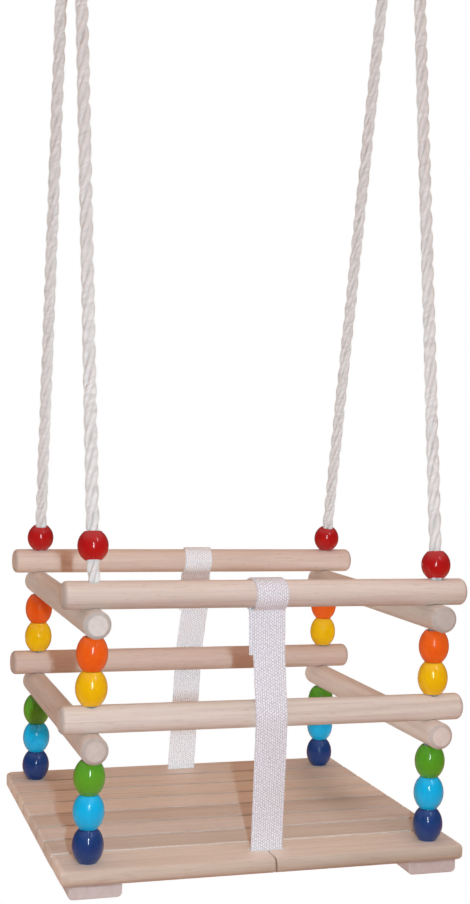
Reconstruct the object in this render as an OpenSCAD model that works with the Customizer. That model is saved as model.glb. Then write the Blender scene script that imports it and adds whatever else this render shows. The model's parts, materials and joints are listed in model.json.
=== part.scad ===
// A swing seat for a small child: round rails stacked crosswise round a slatted seat, kept apart
// by painted beads, on two ropes that hang from two ceiling brackets.
// Millimetres, +Z up. The origin is on the ceiling plane, in the middle of the four screw holes
// of the brackets. +X is to the right when one faces the front of the swing, +Y is to its rear.

/* [Seat] */
// From a rope's centre to the side edge of the seat
seat_side_overhang = 24; // [18:0.5:36]
// From the front ropes' centres to the front edge of the seat
seat_front_overhang = 24; // [16:0.5:34]
// From the rear ropes' centres to the rear edge of the seat
seat_rear_overhang = 30; // [26:0.5:31]
// Thickness of the slats
slat_t = 12; // [9:0.5:18]
// Depth of the wide front slat
front_slat_d = 48; // [42:0.5:56]
// Depth of the rear slat
rear_slat_d = 38.5; // [37:0.5:44]
// Gap between two slats
slat_gap = 1.5; // [0.6:0.1:4]
// Radius of the round nose of the front slat
nose_r = 5.5; // [2:0.5:5.5]
// Radius of the other long edges
slat_edge_r = 2; // [0.5:0.5:4]
// Radius of the seat's outer corners, seen from above
seat_corner_r = 8; // [2:0.5:14]

/* [Battens] */
// Width of a batten under the seat
batten_w = 42; // [38:0.5:56]
// Thickness of a batten
batten_t = 11; // [8:0.5:18]
// From the seat's side edge to the batten
batten_side_inset = 6; // [2:0.5:10]
// From the seat's front and rear edges to the ends of the battens
batten_end_inset = 6; // [2:0.5:10]
// Radius of the batten's lower edges
batten_edge_r = 4; // [1:0.5:6]

/* [Screws] */
// Diameter of a wood screw's shank
screw_d = 3.5; // [3:0.1:4.5]
// Diameter of its countersunk head
screw_head_d = 7; // [6:0.1:9]
// How deep a screw reaches into a slat
screw_bite = 7; // [4:0.5:8]
// From a rope hole inwards to the row of screws
screw_row_offset = 15; // [14:0.5:18]

/* [Rails] */
// Diameter of the round rails
rail_d = 22; // [18:0.5:28]
// What a left to right rail reaches past the rope's centre
long_rail_overhang = 25; // [16:0.5:40]
// What a front to back rail reaches past the rope's centre
short_rail_overhang = 21; // [16:0.5:40]
// Radius that rounds a rail's ends
rail_end_r = 4; // [1:0.5:7]

/* [Beads] */
// Diameter of a bead between the rails
bead_d = 25; // [21:0.5:32]
// Height of a bead between the rails
bead_h = 26.2; // [20:0.1:32]
// Diameter of the flat ends of a bead
bead_face_d = 14; // [13:0.1:17]
// Diameter of a red top bead
top_bead_d = 24; // [20:0.5:30]
// Height of a red top bead
top_bead_h = 22; // [18:0.5:30]
// Diameter of the flat ends of a red top bead
top_bead_face_d = 13; // [12.5:0.1:17]
// Room round the rope in a bead, on the radius
bead_bore_gap = 0.4; // [0.3:0.05:0.8]
// Running gap between a bead and its neighbours
bead_gap = 0.3; // [0.2:0.05:0.6]
// How far up its rope the front left red bead rests
raised_bead = 15.5; // [2:0.5:60]

/* [Ropes] */
// Diameter of the rope
rope_d = 10; // [8:0.5:11]
// Left to right distance of the rope holes
rope_spacing_x = 286; // [270:1:330]
// Front to back distance of the rope holes
rope_spacing_y = 256; // [240:1:300]
// Room round the rope in the wood, on the radius
rope_hole_gap = 0.5; // [0.3:0.05:1]
// Diameter of the sleeve that is pressed on each lower end of a rope
stop_d = 18; // [15:0.5:19]
// Height of this sleeve
stop_h = 8; // [6:0.5:8.5]
// Diameter of its recess in the batten's underside
stop_recess_d = 20; // [19.5:0.5:21]
// Depth of the recess
stop_recess_h = 9; // [8.5:0.1:9.5]

/* [Strap] */
// Width of the webbing
strap_w = 26.5; // [20:0.5:30]
// Thickness of the webbing
strap_t = 1.8; // [1.2:0.1:2.4]
// Length of the sewn overlap below each loop
strap_sewn_l = 35; // [12:1:40]
// How far past the front of its rail the outer layer goes before it hangs, in degrees
strap_leave_a = 65; // [50:1:75]
// Radius of the crease where a layer leaves the rail, at the middle of the webbing
strap_crease_r = 3; // [2:0.5:4]
// Where the strap's middle lies at the slots, left to right
strap_slot_x = 3; // [-10:0.5:10]
// Where its middle lies on the upper front rail
front_loop_x = -3.5; // [-12:0.5:12]
// Where its middle lies on the upper rear rail
rear_loop_x = 11; // [-12:0.5:12]
// From the front ropes' centres inwards to the front slot
front_slot_inset = 2; // [0:0.5:6]
// From the rear ropes' centres outwards to the rear slot
rear_slot_offset = 13; // [8:0.5:17]
// Room on each face of the strap in its slots
slot_gap = 1.7; // [0.8:0.1:2]
// Room at each edge of the strap in its slots
slot_end_gap = 2.5; // [1:0.5:5]
// Width of the saw cut from a slot to the edge of the seat
kerf_w = 1.6; // [0.8:0.1:3]

/* [Ceiling brackets] */
// From the ceiling down to the top of the seat
seat_drop = 1060; // [1040:1:1080]
// Distance between the middles of the two brackets
bracket_spacing = 300; // [280:1:330]
// Length of a bracket's plate, front to back
plate_l = 84; // [76:1:110]
// Width of a bracket's plate
plate_w = 44; // [38:1:60]
// Thickness of the plate
plate_t = 4; // [2.5:0.5:6]
// Radius of the plate's corners
plate_corner_r = 8; // [2:0.5:12]
// Distance between the two screw holes of a plate
plate_hole_spacing = 60; // [54:1:64]
// Diameter of these screw holes
plate_hole_d = 6.5; // [4:0.1:8.5]
// Gap between a bracket's two ears
ear_gap = 22; // [21:0.5:26]
// Thickness of an ear
ear_t = 4; // [2.5:0.5:6]
// Width of an ear, front to back
ear_w = 36; // [28:1:44]
// From the ceiling down to the bolt's axis
bolt_drop = 46; // [44:0.5:56]
// Diameter of the bolt
bolt_d = 10; // [8:0.1:12]
// Distance across the flats of its head and of the nut
bolt_flats = 17; // [15:0.5:19]

/* [Rope eyes] */
// Room between the bolt and the bushing, on the radius
bushing_play = 0.08; // [0.05:0.01:0.1]
// Width of the grooved bushing
bushing_w = 20; // [18:0.5:20.5]
// Diameter at the bottom of its groove
bushing_groove_d = 28.8; // [24:0.2:28.8]
// Diameter of its rims
bushing_rim_d = 42; // [36:0.5:50]
// Length of the pressed ferrule round both legs of a rope
ferrule_l = 28; // [16:0.5:30]
// Wall of the ferrule
ferrule_wall = 2.2; // [1.2:0.1:3.5]
// From the bolt's axis down to the ferrule
ferrule_drop = 45; // [44:0.5:46]
// Distance of the two rope legs' centres in the ferrule
ferrule_leg_spacing = 10.8; // [10.6:0.1:11]

/* [Hidden] */
$fn = 48;

WOOD = "#d9bba6";
DARK_BLUE = "#1f3a78";
LIGHT_BLUE = "#08a4dc";
GREEN = "#4f9522";
YELLOW = "#e8ae08";
ORANGE = "#e8531a";
RED = "#b3141b";
WHITE = "#e6e1e4";
STEEL = "#a9adb2";
NYLON = "#35373a";

rope_r = rope_d / 2;
rope_x = rope_spacing_x / 2;
rope_y = rope_spacing_y / 2;
rope_hole_r = rope_r + rope_hole_gap;
bore_r = rope_r + bead_bore_gap;
rail_r = rail_d / 2;
long_rail_l = rope_spacing_x + 2 * long_rail_overhang;
short_rail_l = rope_spacing_y + 2 * short_rail_overhang;

// Heights: the stack on each corner, from the seat upwards. Two crossed rails come nearer than
// their diameter, because each settles into the rims of the other's rope holes.
seat_z = -seat_drop;
batten_z = seat_z - slat_t;
under_z = batten_z - batten_t;
rail_gap = 0.1;
rail_cross = 2 * sqrt(pow(rail_r, 2) - pow(rope_hole_r, 2) / 2) + rail_gap;
bead_pitch = bead_h + bead_gap;
lower_short_z = seat_z + 3 * bead_pitch + rail_r;
lower_long_z = lower_short_z + rail_cross;
upper_short_z = lower_long_z + rail_r + 2 * bead_pitch + rail_r;
upper_long_z = upper_short_z + rail_cross;
stack_z = upper_long_z + rail_r;

// Outline of the seat, and where its slats lie
seat_w = rope_spacing_x + 2 * seat_side_overhang;
seat_front_y = -rope_y - seat_front_overhang;
seat_rear_y = rope_y + seat_rear_overhang;
front_slat_y = seat_front_y + front_slat_d;
rear_slat_y = seat_rear_y - rear_slat_d;
slat_count = 6;
slat_pitch = (rear_slat_y - front_slat_y - slat_gap) / slat_count;
slat_d = slat_pitch - slat_gap;
slat_starts = [for (i = [0:slat_count - 1]) front_slat_y + slat_gap + i * slat_pitch];
slat_middles = concat(
    [(seat_front_y + front_slat_y) / 2],
    [for (y = slat_starts) y + slat_d / 2],
    [(rear_slat_y + seat_rear_y) / 2]
);
batten_x = seat_w / 2 - batten_side_inset - batten_w / 2;
screw_x = rope_x - screw_row_offset;
screw_gap = 0.05;
screw_hole_r = screw_d / 2 + screw_gap;

// Strap: slots, and the path of its middle
front_slot_y = -rope_y + front_slot_inset;
rear_slot_y = rope_y + rear_slot_offset;
slot_w = strap_t + 2 * slot_gap;
slot_l = strap_w + 2 * slot_end_gap;
strap_gap = 0.1;
layer_gap = 0.05;
wrap_r = rail_r + strap_gap + strap_t / 2;
strap_run_z = batten_z - strap_gap - strap_t / 2;
strap_bend_r = slot_gap + strap_t / 2 + 0.2;

// Rope eyes
bracket_x = bracket_spacing / 2;
bolt_z = -bolt_drop;
ferrule_top_z = bolt_z - ferrule_drop;
ferrule_z = ferrule_top_z - ferrule_l;
leg_y = ferrule_leg_spacing / 2;
// Room between a rope and a sleeve that is pressed on it
sleeve_gap = 0.1;

// The right rope's front leg, from its pressed sleeve to the top of its eye. The rear leg is its
// mirror image, and the left rope mirrors both. From the top of the rails to the ferrule the leg
// is straight.
ROPE_LEG = [
    [143, -128, -1082], [143, -128, -1000], [143, -128, -920], [143, -128, -842],
    [144, -111, -742], [145, -94, -642], [146, -77, -542], [147, -60, -442],
    [148, -43, -342], [149, -26, -242], [150, -9, -142], [150, -5.4, -121],
    [150, -5.4, -90], [150, -8.5, -80], [150, -17, -58], [150, -20, -46],
    [150, -18.5, -38.4], [150, -14.1, -31.9], [150, -7.7, -27.5], [150, 0, -26]
];
straight_from = 3;
straight_to = 10;
rope_sides = 10;

// Direction of the straight stretch on corner (sx, sy), upwards
function lean(sx, sy) =
    let (v = ROPE_LEG[straight_to] - ROPE_LEG[straight_from]) [sx * v.x, -sy * v.y, v.z] / norm(v);

function arc(c, r, a0, a1, n) =
    [for (i = [0:n]) let (a = a0 + (a1 - a0) * i / n) c + r * [cos(a), sin(a)]];

// A rectangle with its own radius at each corner, counter-clockwise from the lower left
function rounded(x0, y0, x1, y1, r, n = 6) = concat(
    arc([x0 + r[0], y0 + r[0]], r[0], 180, 270, n),
    arc([x1 - r[1], y0 + r[1]], r[1], 270, 360, n),
    arc([x1 - r[2], y1 - r[2]], r[2], 0, 90, n),
    arc([x0 + r[3], y1 - r[3]], r[3], 90, 180, n)
);

// Triangles that close a tube of k sides round n rings, with a flat cap at each end
function tube_faces(n, k) = concat(
    [for (i = [0:n - 2], j = [0:k - 1]) [i * k + j, i * k + (j + 1) % k, (i + 1) * k + j]],
    [for (i = [0:n - 2], j = [0:k - 1])
        [i * k + (j + 1) % k, (i + 1) * k + (j + 1) % k, (i + 1) * k + j]],
    [for (j = [1:k - 2]) [0, j + 1, j]],
    [for (j = [1:k - 2]) [(n - 1) * k, (n - 1) * k + j, (n - 1) * k + j + 1]]
);

// Direction of a path at its point i
function heading(p, i) =
    let (v = p[min(i + 1, len(p) - 1)] - p[max(i - 1, 0)]) v / norm(v);

// A round tube along a path that never runs left to right
module tube(path, r, k) {
    rings = [for (i = [0:len(path) - 1])
        let (t = heading(path, i), b = cross(t, [1, 0, 0]), u = b / norm(b), w = cross(u, t))
        for (j = [0:k - 1]) path[i] + r * (cos(j * 360 / k) * u - sin(j * 360 / k) * w)];
    polyhedron(rings, tube_faces(len(path), k));
}

// A flat band along a path, with its width left to right
module band(path, w, t) {
    rings = [for (i = [0:len(path) - 1])
        let (d = heading(path, i), n = [0, -d.z, d.y] / norm([d.y, d.z]))
        for (c = [[-1, -1], [-1, 1], [1, 1], [1, -1]])
            path[i] + [c.x * w / 2, 0, 0] + c.y * t / 2 * n];
    polyhedron(rings, tube_faces(len(path), 4));
}

// Both ropes' holes through what lies at height z
module rope_holes(z, h, ys = [-1, 1], xs = [-1, 1]) {
    for (sx = xs, sy = ys)
        translate([sx * rope_x, sy * rope_y, z - 1]) cylinder(r = rope_hole_r, h = h + 2);
}

// One slat from y0 to y1, full width, with radii lower front, lower rear, upper rear, upper front
module slat_blank(y0, y1, radii) {
    translate([-seat_w / 2, 0, 0]) rotate([90, 0, 90])
        linear_extrude(seat_w) polygon(rounded(y0, batten_z, y1, seat_z, radii));
}

module seat_outline() {
    translate([0, 0, batten_z - 1]) linear_extrude(slat_t + 2) polygon(rounded(
        -seat_w / 2, seat_front_y, seat_w / 2, seat_rear_y, seat_corner_r * [1, 1, 1, 1]));
}

// Pilot holes of the screws that reach into the slat whose middle is at y
module pilot_holes(y) {
    for (sx = [-1, 1]) translate([sx * screw_x, y, batten_z - 1])
        cylinder(r = screw_hole_r, h = 1 + screw_bite + 0.5);
}

// Slot for the strap, with drilled ends, and the saw cut from it to the edge of the seat
module strap_slot(y, edge_y) {
    translate([strap_slot_x, y, batten_z - 1]) {
        translate([-(slot_l - slot_w) / 2, -slot_w / 2, 0]) cube([slot_l - slot_w, slot_w, slat_t + 2]);
        for (s = [-1, 1]) translate([s * (slot_l - slot_w) / 2, 0, 0])
            cylinder(d = slot_w, h = slat_t + 2);
    }
    translate([strap_slot_x - kerf_w / 2, min(y, edge_y) - 1, batten_z - 1])
        cube([kerf_w, abs(edge_y - y) + 1, slat_t + 2]);
}

module front_slat() {
    r = min(nose_r, slat_t / 2 - 0.1);
    e = min(slat_edge_r, slat_t / 2 - 0.1);
    color(WOOD) difference() {
        intersection() {
            slat_blank(seat_front_y, front_slat_y, [r, e, e, r]);
            seat_outline();
        }
        rope_holes(batten_z, slat_t, [-1]);
        pilot_holes(slat_middles[0]);
        strap_slot(front_slot_y, seat_front_y);
    }
}

// One of the equal slats, counted from the front
module slat(number) {
    e = min(slat_edge_r, slat_t / 2 - 0.1);
    y = slat_starts[number - 1];
    color(WOOD) difference() {
        slat_blank(y, y + slat_d, [e, e, e, e]);
        pilot_holes(slat_middles[number]);
    }
}

module rear_slat() {
    e = min(slat_edge_r, slat_t / 2 - 0.1);
    color(WOOD) difference() {
        intersection() {
            slat_blank(rear_slat_y, seat_rear_y, [e, e, e, e]);
            seat_outline();
        }
        rope_holes(batten_z, slat_t, [1]);
        pilot_holes(slat_middles[len(slat_middles) - 1]);
        strap_slot(rear_slot_y, seat_rear_y);
    }
}

// Batten on the side sx, with countersunk holes for the screws and recesses for the rope stops
module batten(sx) {
    y0 = seat_front_y + batten_end_inset;
    r = min(batten_edge_r, batten_t / 2 - 0.1);
    color(WOOD) difference() {
        translate([sx * batten_x, seat_rear_y - batten_end_inset, 0]) rotate([90, 0, 0])
            linear_extrude(seat_rear_y - batten_end_inset - y0)
                polygon(rounded(-batten_w / 2, under_z, batten_w / 2, batten_z, [r, r, 0.5, 0.5]));
        rope_holes(under_z, batten_t, [-1, 1], [sx]);
        for (sy = [-1, 1]) translate([sx * rope_x, sy * rope_y, under_z - 1])
            cylinder(d = stop_recess_d, h = stop_recess_h + 1);
        for (y = slat_middles) translate([sx * screw_x, y, under_z]) {
            translate([0, 0, -1]) cylinder(r = screw_hole_r, h = batten_t + 2);
            countersink(screw_head_d / 2 + screw_gap);
        }
    }
}

// The cone of a countersunk head, flush with the underside of the batten
module countersink(r) {
    cylinder(r1 = r, r2 = screw_d / 2, h = r - screw_d / 2);
}

module seat_screws() {
    color(STEEL) for (sx = [-1, 1], y = slat_middles) translate([sx * screw_x, y, under_z]) {
        cylinder(d = screw_d, h = batten_t + screw_bite);
        countersink(screw_head_d / 2);
    }
}

// A round rail along X, with rounded ends
module rail(l) {
    r = min(rail_end_r, rail_r - 1);
    rotate([0, 90, 0]) rotate_extrude()
        polygon(concat([[0, -l / 2]], arc([rail_r - r, -l / 2 + r], r, -90, 0, 5),
            arc([rail_r - r, l / 2 - r], r, 0, 90, 5), [[0, l / 2]]));
}

// Left to right rail on the side sy, and front to back rail on the side sx
module long_rail(sy, z) {
    color(WOOD) difference() {
        translate([0, sy * rope_y, z]) rail(long_rail_l);
        rope_holes(z - rail_r, rail_d, [sy]);
    }
}

module short_rail(sx, z) {
    color(WOOD) difference() {
        translate([sx * rope_x, 0, z]) rotate([0, 0, 90]) rail(short_rail_l);
        rope_holes(z - rail_r, rail_d, [-1, 1], [sx]);
    }
}

// A drilled bead with flat ends, standing on z = 0. Its side is an ellipse that the ends cut off.
module barrel(d, h, face_d) {
    r = d / 2;
    f = face_d / 2;
    c = h / 2 / sqrt(1 - pow(f / r, 2));
    rim = 0.4;
    side = [for (i = [-6:6]) let (z = i / 6 * (h / 2 - rim)) [r * sqrt(1 - pow(z / c, 2)), h / 2 + z]];
    rotate_extrude() polygon(concat([[bore_r, 0], [f - rim, 0]], side, [[f - rim, h], [bore_r, h]]));
}

// Bead number n of the column on corner (sx, sy): 0 to 2 stand on the seat, 3 and 4 on the
// lower rails
module bead(sx, sy, n, c) {
    z = n < 3 ? seat_z + n * bead_pitch : lower_long_z + rail_r + (n - 3) * bead_pitch;
    color(c) translate([sx * rope_x, sy * rope_y, z + bead_gap / 2])
        barrel(bead_d, bead_h, bead_face_d);
}

// Red bead, a height up its leaning rope
module top_bead(sx, sy, up) {
    v = lean(sx, sy);
    color(RED) translate([sx * rope_x, sy * rope_y, stack_z] + (bead_gap + up) * v)
        rotate([0, acos(v.z), atan2(v.y, v.x)]) barrel(top_bead_d, top_bead_h, top_bead_face_d);
}

// Sleeve pressed on each lower end of a rope, in its recess
module rope_stops() {
    seat_gap = 0.1;
    z = under_z + stop_recess_h - seat_gap - stop_h;
    color(STEEL) for (sx = [-1, 1], sy = [-1, 1]) translate([sx * rope_x, sy * rope_y, z])
        difference() {
            cylinder(d = stop_d, h = stop_h);
            translate([0, 0, -1]) cylinder(r = rope_r + sleeve_gap, h = stop_h + 2);
        }
}

module rope(sx) {
    last = len(ROPE_LEG) - 1;
    front = [for (p = ROPE_LEG) [sx * p.x, p.y, p.z]];
    rear = [for (i = [last - 1:-1:0]) [sx * ROPE_LEG[i].x, -ROPE_LEG[i].y, ROPE_LEG[i].z]];
    color(WHITE) tube(concat(front, rear), rope_r, rope_sides);
}

// Path of the strap in front (s = -1) or behind (s = 1), as [distance from the middle, height]:
// from the lower end of the sewn under layer up to the rail, round it, down the sewn part and past
// the lower rail to the bend under the slot. The two layers touch where they are sewn.
function strap_path(s, slot_y) =
    let (
        u = s * slot_y,
        loop = [rope_y, upper_long_z],
        low = [rope_y, lower_long_z],
        outer = loop + (wrap_r + strap_crease_r) * [cos(strap_leave_a), -sin(strap_leave_a)],
        sewn = [outer.x - strap_crease_r, outer.y - strap_sewn_l],
        inner_x = sewn.x - strap_t - layer_gap - strap_crease_r,
        inner = [inner_x, loop.y - sqrt(pow(wrap_r + strap_crease_r, 2) - pow(inner_x - loop.x, 2))],
        inner_a = atan2(loop.y - inner.y, loop.x - inner.x),
        to_sewn = sewn - low,
        enter = atan2(to_sewn.y, to_sewn.x) - acos(wrap_r / norm(to_sewn)),
        to_slot = [u, seat_z + 0.5] - low,
        leave = min(0, atan2(to_slot.y, to_slot.x) + acos(wrap_r / norm(to_slot))),
        bend = [u - strap_bend_r, strap_run_z + strap_bend_r]
    )
    concat(
        [[inner.x + strap_crease_r, sewn.y]],
        arc(inner, strap_crease_r, 0, inner_a * 2 / 3, 2),
        arc(loop, wrap_r, inner_a + 180, -strap_leave_a, 26),
        arc(outer, strap_crease_r, 180 - strap_leave_a * 2 / 3, 180, 2),
        [sewn],
        arc(low, wrap_r, enter, leave, 3),
        [[u, seat_z + 0.5]],
        arc(bend, strap_bend_r, 0, -90, 5)
    );

module strap_end(s, slot_y, loop_x) {
    path = [for (p = strap_path(s, slot_y))
        let (up = max(0, min(1, (p.y - seat_z) / (upper_long_z - seat_z))))
        [strap_slot_x + (loop_x - strap_slot_x) * up, s * p.x, p.y]];
    color(WHITE) band(path, strap_w, strap_t);
}

module under_seat_strap() {
    color(WHITE) band([
        [strap_slot_x, front_slot_y + strap_bend_r, strap_run_z],
        [strap_slot_x, rear_slot_y - strap_bend_r, strap_run_z]
    ], strap_w, strap_t);
}

// Lies along X through a bracket's middle: a hexagon or a cylinder from x0 to x1
module bar_x(sx, x0, x1, r, sides = 48) {
    translate([sx * bracket_x + x0, 0, bolt_z]) rotate([0, 90, 0])
        cylinder(r = r, h = x1 - x0, $fn = sides);
}

module bracket(sx) {
    color(STEEL) difference() {
        translate([sx * bracket_x, 0, 0]) union() {
            translate([0, 0, -plate_t]) linear_extrude(plate_t)
                polygon(rounded(-plate_w / 2, -plate_l / 2, plate_w / 2, plate_l / 2,
                    plate_corner_r * [1, 1, 1, 1]));
            for (s = [-1, 1]) translate([s * (ear_gap + ear_t) / 2 - ear_t / 2, 0, 0]) {
                translate([0, -ear_w / 2, bolt_z]) cube([ear_t, ear_w, bolt_drop - plate_t / 2]);
                translate([0, 0, bolt_z]) rotate([0, 90, 0]) cylinder(d = ear_w, h = ear_t);
            }
        }
        for (sy = [-1, 1]) translate([sx * bracket_x, sy * plate_hole_spacing / 2, -plate_t - 1])
            cylinder(d = plate_hole_d, h = plate_t + 2);
        bar_x(sx, -ear_gap, ear_gap, bolt_d / 2 + 0.2);
    }
}

bolt_grip = ear_gap / 2 + ear_t;
bolt_head_r = bolt_flats / 2 / cos(30);
bolt_head_h = 6.5;
nut_h = 8;
bolt_tip = 3;

// The head is on the outer side of a bracket, the nut on its inner side
module bolt(sx) {
    tip = bolt_grip + nut_h + bolt_tip;
    color(STEEL) union() {
        bar_x(sx, sx > 0 ? -tip : -bolt_grip, sx > 0 ? bolt_grip : tip, bolt_d / 2);
        bar_x(sx, sx > 0 ? bolt_grip : -bolt_grip - bolt_head_h,
            sx > 0 ? bolt_grip + bolt_head_h : -bolt_grip, bolt_head_r, 6);
    }
}

module nut(sx) {
    x0 = sx > 0 ? -bolt_grip - nut_h : bolt_grip;
    color(STEEL) difference() {
        bar_x(sx, x0, x0 + nut_h, bolt_head_r, 6);
        bar_x(sx, x0 - 1, x0 + nut_h + 1, bolt_d / 2);
    }
}

// A spool that turns on the bolt. Its groove is a V with a flat floor.
module bushing(sx) {
    rim = bushing_rim_d / 2;
    groove = bushing_groove_d / 2;
    hub = bolt_d / 2 + bushing_play;
    w = bushing_w / 2;
    color(NYLON) translate([sx * bracket_x, 0, bolt_z]) rotate([0, 90, 0]) rotate_extrude()
        polygon([[hub, -w], [rim, -w], [rim, -0.7 * w], [groove, -0.36 * w],
            [groove, 0.36 * w], [rim, 0.7 * w], [rim, w], [hub, w]]);
}

function stadium(r) = concat(arc([0, leg_y], r, 0, 180, 12), arc([0, -leg_y], r, 180, 360, 12));

module ferrule(sx) {
    color(STEEL) translate([sx * bracket_x, 0, ferrule_z]) difference() {
        linear_extrude(ferrule_l) polygon(stadium(rope_r + sleeve_gap + ferrule_wall));
        translate([0, 0, -1]) linear_extrude(ferrule_l + 2) polygon(stadium(rope_r + sleeve_gap));
    }
}

bracket(-1);  // left_bracket
bracket(1);  // right_bracket
bolt(-1);  // left_bolt
bolt(1);  // right_bolt
nut(-1);  // left_nut
nut(1);  // right_nut
bushing(-1);  // left_bushing
bushing(1);  // right_bushing
ferrule(-1);  // left_ferrule
ferrule(1);  // right_ferrule
rope(-1);  // left_rope
rope(1);  // right_rope
rope_stops();
long_rail(-1, upper_long_z);  // upper_front_rail
long_rail(1, upper_long_z);  // upper_rear_rail
short_rail(-1, upper_short_z);  // upper_left_rail
short_rail(1, upper_short_z);  // upper_right_rail
long_rail(-1, lower_long_z);  // lower_front_rail
long_rail(1, lower_long_z);  // lower_rear_rail
short_rail(-1, lower_short_z);  // lower_left_rail
short_rail(1, lower_short_z);  // lower_right_rail
front_slat();
slat(1);  // slat_1
slat(2);  // slat_2
slat(3);  // slat_3
slat(4);  // slat_4
slat(5);  // slat_5
slat(6);  // slat_6
rear_slat();
batten(-1);  // left_batten
batten(1);  // right_batten
seat_screws();
strap_end(-1, front_slot_y, front_loop_x);  // front_strap
under_seat_strap();
strap_end(1, rear_slot_y, rear_loop_x);  // rear_strap
bead(-1, -1, 0, DARK_BLUE);  // front_left_blue_bead
bead(-1, -1, 1, LIGHT_BLUE);  // front_left_cyan_bead
bead(-1, -1, 2, GREEN);  // front_left_green_bead
bead(-1, -1, 3, YELLOW);  // front_left_yellow_bead
bead(-1, -1, 4, ORANGE);  // front_left_orange_bead
top_bead(-1, -1, raised_bead);  // front_left_red_bead
bead(1, -1, 0, DARK_BLUE);  // front_right_blue_bead
bead(1, -1, 1, LIGHT_BLUE);  // front_right_cyan_bead
bead(1, -1, 2, GREEN);  // front_right_green_bead
bead(1, -1, 3, YELLOW);  // front_right_yellow_bead
bead(1, -1, 4, ORANGE);  // front_right_orange_bead
top_bead(1, -1, 0);  // front_right_red_bead
bead(-1, 1, 0, DARK_BLUE);  // rear_left_blue_bead
bead(-1, 1, 1, LIGHT_BLUE);  // rear_left_cyan_bead
bead(-1, 1, 2, GREEN);  // rear_left_green_bead
bead(-1, 1, 3, YELLOW);  // rear_left_yellow_bead
bead(-1, 1, 4, ORANGE);  // rear_left_orange_bead
top_bead(-1, 1, 0);  // rear_left_red_bead
bead(1, 1, 0, DARK_BLUE);  // rear_right_blue_bead
bead(1, 1, 1, LIGHT_BLUE);  // rear_right_cyan_bead
bead(1, 1, 2, GREEN);  // rear_right_green_bead
bead(1, 1, 3, YELLOW);  // rear_right_yellow_bead
bead(1, 1, 4, ORANGE);  // rear_right_orange_bead
top_bead(1, 1, 0);  // rear_right_red_bead
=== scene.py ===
"""Looks of a hanging lattice swing seat for a small child: round beech rails on painted beads, a
slatted seat, a webbing strap and two twisted ropes on ceiling brackets.

Shapes are worked out in millimetres in the solids' own frame and put into the meshes in metres.
"""

import json
import math

import bmesh
import bpy
import numpy as np
from mathutils import Matrix, Vector


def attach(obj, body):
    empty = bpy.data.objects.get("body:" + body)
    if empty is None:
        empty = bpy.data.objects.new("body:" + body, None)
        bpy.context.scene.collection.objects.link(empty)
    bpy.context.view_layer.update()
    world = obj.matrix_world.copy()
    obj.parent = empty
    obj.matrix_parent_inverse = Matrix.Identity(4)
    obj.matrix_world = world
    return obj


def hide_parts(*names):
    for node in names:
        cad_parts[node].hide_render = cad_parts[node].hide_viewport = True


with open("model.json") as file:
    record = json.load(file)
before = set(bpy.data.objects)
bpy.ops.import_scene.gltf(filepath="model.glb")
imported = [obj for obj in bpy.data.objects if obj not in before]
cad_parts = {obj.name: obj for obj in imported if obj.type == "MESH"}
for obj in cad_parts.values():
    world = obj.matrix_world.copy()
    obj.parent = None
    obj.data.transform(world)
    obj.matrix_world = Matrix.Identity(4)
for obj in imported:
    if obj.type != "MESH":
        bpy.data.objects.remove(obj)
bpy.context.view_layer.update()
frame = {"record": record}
RECORD = frame["record"]
BODY_OF = {n: b for b, names in RECORD["behaviour"]["bodies"].items() for n in names}

# ---- sizes, in millimetres, as the solids have them ----
MM = 0.001
SEAT_Z, SLAT_T, BATTEN_T = -1060.0, 12.0, 11.0
BATTEN_Z = SEAT_Z - SLAT_T
UNDER_Z = BATTEN_Z - BATTEN_T
SEAT_HALF, SEAT_FRONT, SEAT_REAR = 167.0, -152.0, 158.0
FRONT_SLAT_Y, REAR_SLAT_Y, SLAT_GAP, SLATS = -104.0, 119.5, 1.5, 6
SLAT_PITCH = (REAR_SLAT_Y - FRONT_SLAT_Y - SLAT_GAP) / SLATS
BATTEN_IN, BATTEN_OUT = 119.0, 161.0
BATTEN_FRONT, BATTEN_REAR = -146.0, 152.0
ROPE_X, ROPE_Y, ROPE_R, ROPE_HOLE_R = 143.0, 128.0, 5.0, 5.5
SCREW_X, SCREW_R, SCREW_HEAD_R, SCREW_BITE = 128.0, 1.75, 3.5, 7.0
STOP_R, STOP_H, STOP_TOP, STOP_RECESS_R, STOP_RECESS_H = 9.0, 8.0, -1074.1, 10.0, 9.0
RAIL_R, LONG_RAIL, SHORT_RAIL, RAIL_DISC_R, RAIL_ROUND_L = 11.0, 336.0, 298.0, 7.4, 4.2
BEAD_R, BEAD_H, BEAD_FACE_R, BEAD_GAP = 12.5, 26.2, 7.0, 0.3
TOP_BEAD_R, TOP_BEAD_H, TOP_FACE_R, RAISED_BEAD = 12.0, 22.0, 6.5, 15.5
BEAD_PITCH = BEAD_H + BEAD_GAP
BORE_R, TOP_BORE_R = ROPE_R + 0.4, ROPE_R + 0.7
RAIL_CROSS = 2 * math.sqrt(RAIL_R**2 - ROPE_HOLE_R**2 / 2) + 0.1
LOWER_SHORT_Z = SEAT_Z + 3 * BEAD_PITCH + RAIL_R
LOWER_LONG_Z = LOWER_SHORT_Z + RAIL_CROSS
UPPER_SHORT_Z = LOWER_LONG_Z + 2 * RAIL_R + 2 * BEAD_PITCH
UPPER_LONG_Z = UPPER_SHORT_Z + RAIL_CROSS
STACK_Z = UPPER_LONG_Z + RAIL_R
STRAP_W, STRAP_T, STRAP_SEWN, STRAP_LEAVE, CREASE_R = 26.5, 1.8, 35.0, 65.0, 3.0
SLOT_X, FRONT_LOOP_X, REAR_LOOP_X = 3.0, -3.5, 11.0
FRONT_SLOT_Y, REAR_SLOT_Y, SLOT_W, SLOT_L, KERF = -126.0, 141.0, 5.2, 31.5, 1.6
WRAP_R = RAIL_R + 0.1 + STRAP_T / 2
STRAP_RUN_Z = BATTEN_Z - 0.1 - STRAP_T / 2
STRAP_BEND_R = 2.8
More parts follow.
